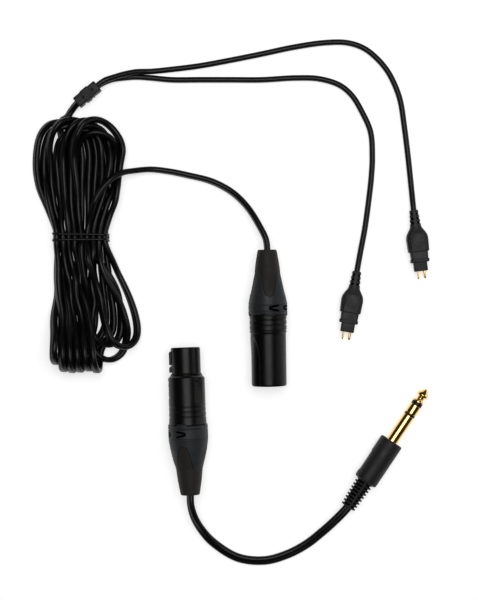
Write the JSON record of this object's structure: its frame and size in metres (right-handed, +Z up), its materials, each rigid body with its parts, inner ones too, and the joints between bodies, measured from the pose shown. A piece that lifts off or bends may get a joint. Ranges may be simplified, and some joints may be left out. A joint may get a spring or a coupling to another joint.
{
  "type": "headphone lead set",
  "caption": "Y-shaped headphone lead with pin plugs, tied in a hank, ending in an XLR plug, beside a short lead from an XLR socket to a jack plug.",
  "frame": {"origin": "centre of the set's connectors, clip and tie, on the flat surface that it lies on", "axes": "+Z up; +Y from the jack and the XLR socket towards the headphone legs; +X from the hank towards the headphone plugs"},
  "size_m": [0.2122, 0.2834, 0.025],
  "materials": {
    "cord": "satin",
    "soft_plastic": "satin",
    "black_plastic": "satin",
    "gold": "polished",
    "wire": "satin",
    "tie": "satin",
    "shell": "gloss",
    "clamp": "matte",
    "gland": "matte",
    "boot": "matte",
    "steel": "brushed"
  },
  "bodies": {
    "y_lead": {"left_plug_cover": "soft_plastic", "left_plug_carrier": "black_plastic", "left_thick_pin": "gold", "left_thin_pin": "gold", "left_plug_wires": "wire", "right_plug_cover": "soft_plastic", "right_plug_carrier": "black_plastic", "right_thick_pin": "gold", "right_thin_pin": "gold", "right_plug_wires": "wire", "left_lead": "cord", "right_lead": "cord", "splitter_top": "soft_plastic", "splitter_bottom": "soft_plastic", "trunk_upper": "cord", "trunk_hank": "cord", "trunk_tail": "cord", "hank_tie": "tie", "male_shell": "shell", "male_insert": "black_plastic", "male_pins": "gold", "male_wires": "wire"},
    "male_clamp": {"male_chuck": "clamp"},
    "male_screw": {"male_gland": "gland", "male_boot": "boot"},
    "adapter": {"female_shell": "shell", "female_insert": "black_plastic", "female_contacts": "gold", "female_wires": "wire", "latch_pin": "steel", "latch_spring": "steel", "adapter_lead": "cord", "jack_tip": "gold", "jack_ring": "gold", "jack_sleeve": "gold", "tip_insulator": "black_plastic", "ring_insulator": "black_plastic", "jack_lugs": "steel", "jack_wires": "wire", "jack_cover": "soft_plastic", "jack_relief": "soft_plastic"},
    "female_clamp": {"female_chuck": "clamp"},
    "female_screw": {"female_gland": "gland", "female_boot": "boot"},
    "latch": {"latch_lever": "shell"}
  },
  "joints": [
    {"name": "adapter_lift", "type": "slide", "parent": "y_lead", "child": "adapter", "axis": [0, 0, 1], "range_m": [0, 0.06]},
    {"name": "male_clamp_slide", "type": "slide", "parent": "y_lead", "child": "male_clamp", "axis": [-0.014, 0.9996, 0.0239], "range_m": [0, 0.00401]},
    {"name": "male_gland_turn", "type": "hinge", "parent": "male_clamp", "child": "male_screw", "pos_m": [0.01492, -0.00499, 0.01052], "axis": [-0.014, 0.9996, 0.0239], "range_deg": [0, 960]},
    {"name": "female_clamp_slide", "type": "slide", "parent": "adapter", "child": "female_clamp", "axis": [0.0349, -0.9989, 0.0312], "range_m": [0, 0.00401]},
    {"name": "female_gland_turn", "type": "hinge", "parent": "female_clamp", "child": "female_screw", "pos_m": [-0.02762, -0.07404, 0.01076], "axis": [0.0349, -0.9989, 0.0312], "range_deg": [0, 960]},
    {"name": "latch_press", "type": "hinge", "parent": "adapter", "child": "latch", "pos_m": [-0.0341, -0.05746, 0.01024], "axis": [0.0011, -0.0312, -0.9995], "range_deg": [0, 3.6], "stiffness_Nm_per_rad": 0.05, "deforming": ["latch_spring"]}
  ],
  "couplings": [
    {"joint": "male_clamp_slide", "follows": "male_gland_turn", "m_per_rad": 0.00023873},
    {"joint": "female_clamp_slide", "follows": "female_gland_turn", "m_per_rad": 0.00023873}
  ]
}
